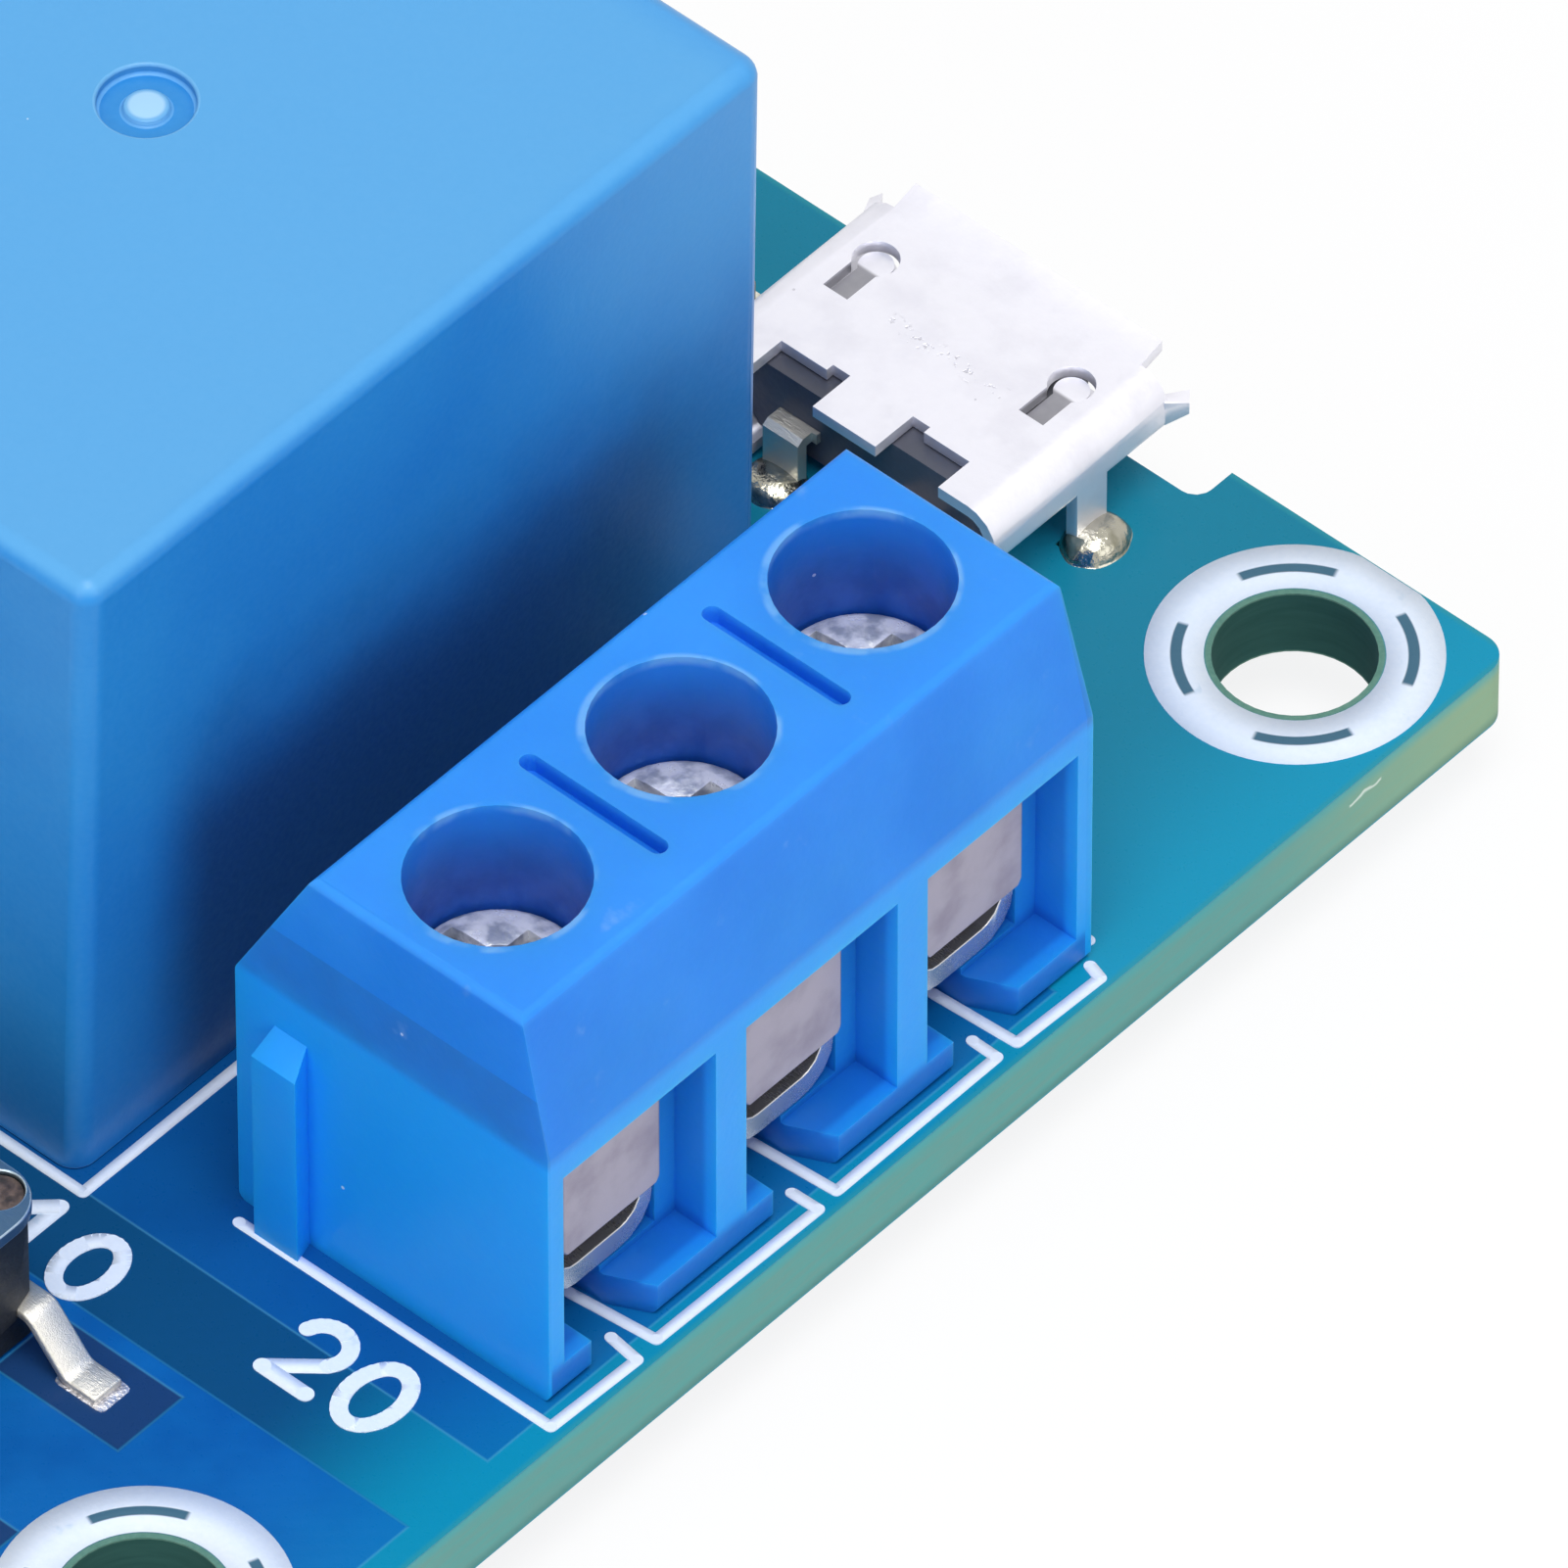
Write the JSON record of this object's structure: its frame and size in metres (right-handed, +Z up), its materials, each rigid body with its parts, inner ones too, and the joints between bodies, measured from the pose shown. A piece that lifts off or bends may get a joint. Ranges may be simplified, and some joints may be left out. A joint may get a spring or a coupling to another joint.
{
  "type": "relay module board",
  "caption": "Timer relay board: blue power relay, screw terminals at both ends, power socket, row of push keys, digit display, and chip parts on a blue board.",
  "frame": {"origin": "centre of the four fixing holes, on the board's underside", "axes": "+Z up out of the component side, +X towards the relay's output terminal, +Y towards the edge with the power socket"},
  "size_m": [0.0624, 0.038, 0.0188],
  "materials": {
    "solder_mask": "glossy blue solder mask over glass-epoxy laminate",
    "relay_plastic": "smooth moulded blue",
    "terminal_plastic": "smooth moulded blue",
    "black_plastic": "moulded black",
    "bobbin_plastic": "moulded cream",
    "enamelled_copper": "enamelled winding",
    "soft_iron": "plated soft iron",
    "spring_copper": "bare spring copper",
    "contact_brass": "bare brass",
    "tinned_metal": "tin plated",
    "guard_steel": "dull plated steel",
    "screw_zinc": "bright zinc plated",
    "shell_steel": "nickel plated sheet",
    "gilt_metal": "gold flash",
    "key_steel": "satin sheet steel",
    "spring_steel": "bright spring steel",
    "button_plastic": "moulded black",
    "display_face": "painted dark face",
    "segment_epoxy": "milky epoxy",
    "chip_epoxy": "moulded epoxy",
    "resistor_ceramic": "glazed black",
    "capacitor_ceramic": "fired ceramic",
    "led_epoxy": "clear epoxy on white",
    "solder": "bright solder"
  },
  "bodies": {
    "board": {"circuit_board": "solder_mask", "relay_cover": "relay_plastic", "relay_base": "black_plastic", "relay_bobbin": "bobbin_plastic", "relay_coil": "enamelled_copper", "relay_core": "soft_iron", "relay_yoke": "soft_iron", "relay_hinge_spring": "spring_copper", "relay_nc_terminal": "contact_brass", "relay_no_terminal": "contact_brass", "relay_common_pin": "contact_brass", "relay_coil_pins": "tinned_metal", "output_housing": "terminal_plastic", "output_clamp_frames": "tinned_metal", "input_housing": "terminal_plastic", "input_clamp_frames": "tinned_metal", "socket_shell": "shell_steel", "socket_insulator": "black_plastic", "socket_contacts": "gilt_metal", "socket_solder": "solder", "key_bases": "black_plastic", "key_covers": "key_steel", "key_leads": "tinned_metal", "key_dome_1": "spring_steel", "key_dome_2": "spring_steel", "key_dome_3": "spring_steel", "key_dome_4": "spring_steel", "display_case": "display_face", "display_segments": "segment_epoxy", "display_pins": "tinned_metal", "controller_chip": "chip_epoxy", "controller_leads": "tinned_metal", "optocoupler": "chip_epoxy", "optocoupler_leads": "tinned_metal", "regulator": "chip_epoxy", "diode": "chip_epoxy", "transistor": "chip_epoxy", "chip_resistors": "resistor_ceramic", "chip_capacitors": "capacitor_ceramic", "indicator_leds": "led_epoxy", "solder_joints": "solder"},
    "output_guard_1": {"output_wire_guard_1": "guard_steel"},
    "output_screw_1": {"output_clamp_screw_1": "screw_zinc"},
    "output_guard_2": {"output_wire_guard_2": "guard_steel"},
    "output_screw_2": {"output_clamp_screw_2": "screw_zinc"},
    "output_guard_3": {"output_wire_guard_3": "guard_steel"},
    "output_screw_3": {"output_clamp_screw_3": "screw_zinc"},
    "input_guard_1": {"input_wire_guard_1": "guard_steel"},
    "input_screw_1": {"input_clamp_screw_1": "screw_zinc"},
    "input_guard_2": {"input_wire_guard_2": "guard_steel"},
    "input_screw_2": {"input_clamp_screw_2": "screw_zinc"},
    "input_guard_3": {"input_wire_guard_3": "guard_steel"},
    "input_screw_3": {"input_clamp_screw_3": "screw_zinc"},
    "key_1": {"key_button_1": "button_plastic"},
    "key_2": {"key_button_2": "button_plastic"},
    "key_3": {"key_button_3": "button_plastic"},
    "key_4": {"key_button_4": "button_plastic"},
    "armature": {"relay_armature": "soft_iron", "relay_contact_blade": "spring_copper"}
  },
  "joints": [
    {"name": "output_clamp_rise_1", "type": "slide", "parent": "board", "child": "output_guard_1", "axis": [0, 0, 1], "range_m": [0, 0.00158]},
    {"name": "output_screw_turn_1", "type": "hinge", "parent": "output_guard_1", "child": "output_screw_1", "pos_m": [0.02698, -0.00498, 0.008], "axis": [0, 0, 1], "range_deg": [0, 1260]},
    {"name": "output_clamp_rise_2", "type": "slide", "parent": "board", "child": "output_guard_2", "axis": [0, 0, 1], "range_m": [0, 0.00158]},
    {"name": "output_screw_turn_2", "type": "hinge", "parent": "output_guard_2", "child": "output_screw_2", "pos_m": [0.02698, 0.0001, 0.008], "axis": [0, 0, 1], "range_deg": [0, 1260]},
    {"name": "output_clamp_rise_3", "type": "slide", "parent": "board", "child": "output_guard_3", "axis": [0, 0, 1], "range_m": [0, 0.00158]},
    {"name": "output_screw_turn_3", "type": "hinge", "parent": "output_guard_3", "child": "output_screw_3", "pos_m": [0.02698, 0.00518, 0.008], "axis": [0, 0, 1], "range_deg": [0, 1260]},
    {"name": "input_clamp_rise_1", "type": "slide", "parent": "board", "child": "input_guard_1", "axis": [0, 0, 1], "range_m": [0, 0.00158]},
    {"name": "input_screw_turn_1", "type": "hinge", "parent": "input_guard_1", "child": "input_screw_1", "pos_m": [-0.02698, 0.00508, 0.008], "axis": [0, 0, 1], "range_deg": [0, 1260]},
    {"name": "input_clamp_rise_2", "type": "slide", "parent": "board", "child": "input_guard_2", "axis": [0, 0, 1], "range_m": [0, 0.00158]},
    {"name": "input_screw_turn_2", "type": "hinge", "parent": "input_guard_2", "child": "input_screw_2", "pos_m": [-0.02698, 0, 0.008], "axis": [0, 0, 1], "range_deg": [0, 1260]},
    {"name": "input_clamp_rise_3", "type": "slide", "parent": "board", "child": "input_guard_3", "axis": [0, 0, 1], "range_m": [0, 0.00158]},
    {"name": "input_screw_turn_3", "type": "hinge", "parent": "input_guard_3", "child": "input_screw_3", "pos_m": [-0.02698, -0.00508, 0.008], "axis": [0, 0, 1], "range_deg": [0, 1260]},
    {"name": "key_press_1", "type": "slide", "parent": "board", "child": "key_1", "axis": [0, 0, -1], "range_m": [0, 0.00025], "stiffness_N_per_m": 400, "deforming": ["key_dome_1"]},
    {"name": "key_press_2", "type": "slide", "parent": "board", "child": "key_2", "axis": [0, 0, -1], "range_m": [0, 0.00025], "stiffness_N_per_m": 400, "deforming": ["key_dome_2"]},
    {"name": "key_press_3", "type": "slide", "parent": "board", "child": "key_3", "axis": [0, 0, -1], "range_m": [0, 0.00025], "stiffness_N_per_m": 400, "deforming": ["key_dome_3"]},
    {"name": "key_press_4", "type": "slide", "parent": "board", "child": "key_4", "axis": [0, 0, -1], "range_m": [0, 0.00025], "stiffness_N_per_m": 400, "deforming": ["key_dome_4"]},
    {"name": "armature_pull", "type": "hinge", "parent": "board", "child": "armature", "pos_m": [0.01256, -0.00665, 0.0125], "axis": [-1, 0, 0], "range_deg": [0, 3.6], "stiffness_Nm_per_rad": 0.005, "springref_deg": -5.73}
  ],
  "couplings": [
    {"joint": "output_screw_turn_1", "follows": "output_clamp_rise_1", "rad_per_m": 13963},
    {"joint": "output_screw_turn_2", "follows": "output_clamp_rise_2", "rad_per_m": 13963},
    {"joint": "output_screw_turn_3", "follows": "output_clamp_rise_3", "rad_per_m": 13963},
    {"joint": "input_screw_turn_1", "follows": "input_clamp_rise_1", "rad_per_m": 13963},
    {"joint": "input_screw_turn_2", "follows": "input_clamp_rise_2", "rad_per_m": 13963},
    {"joint": "input_screw_turn_3", "follows": "input_clamp_rise_3", "rad_per_m": 13963}
  ]
}
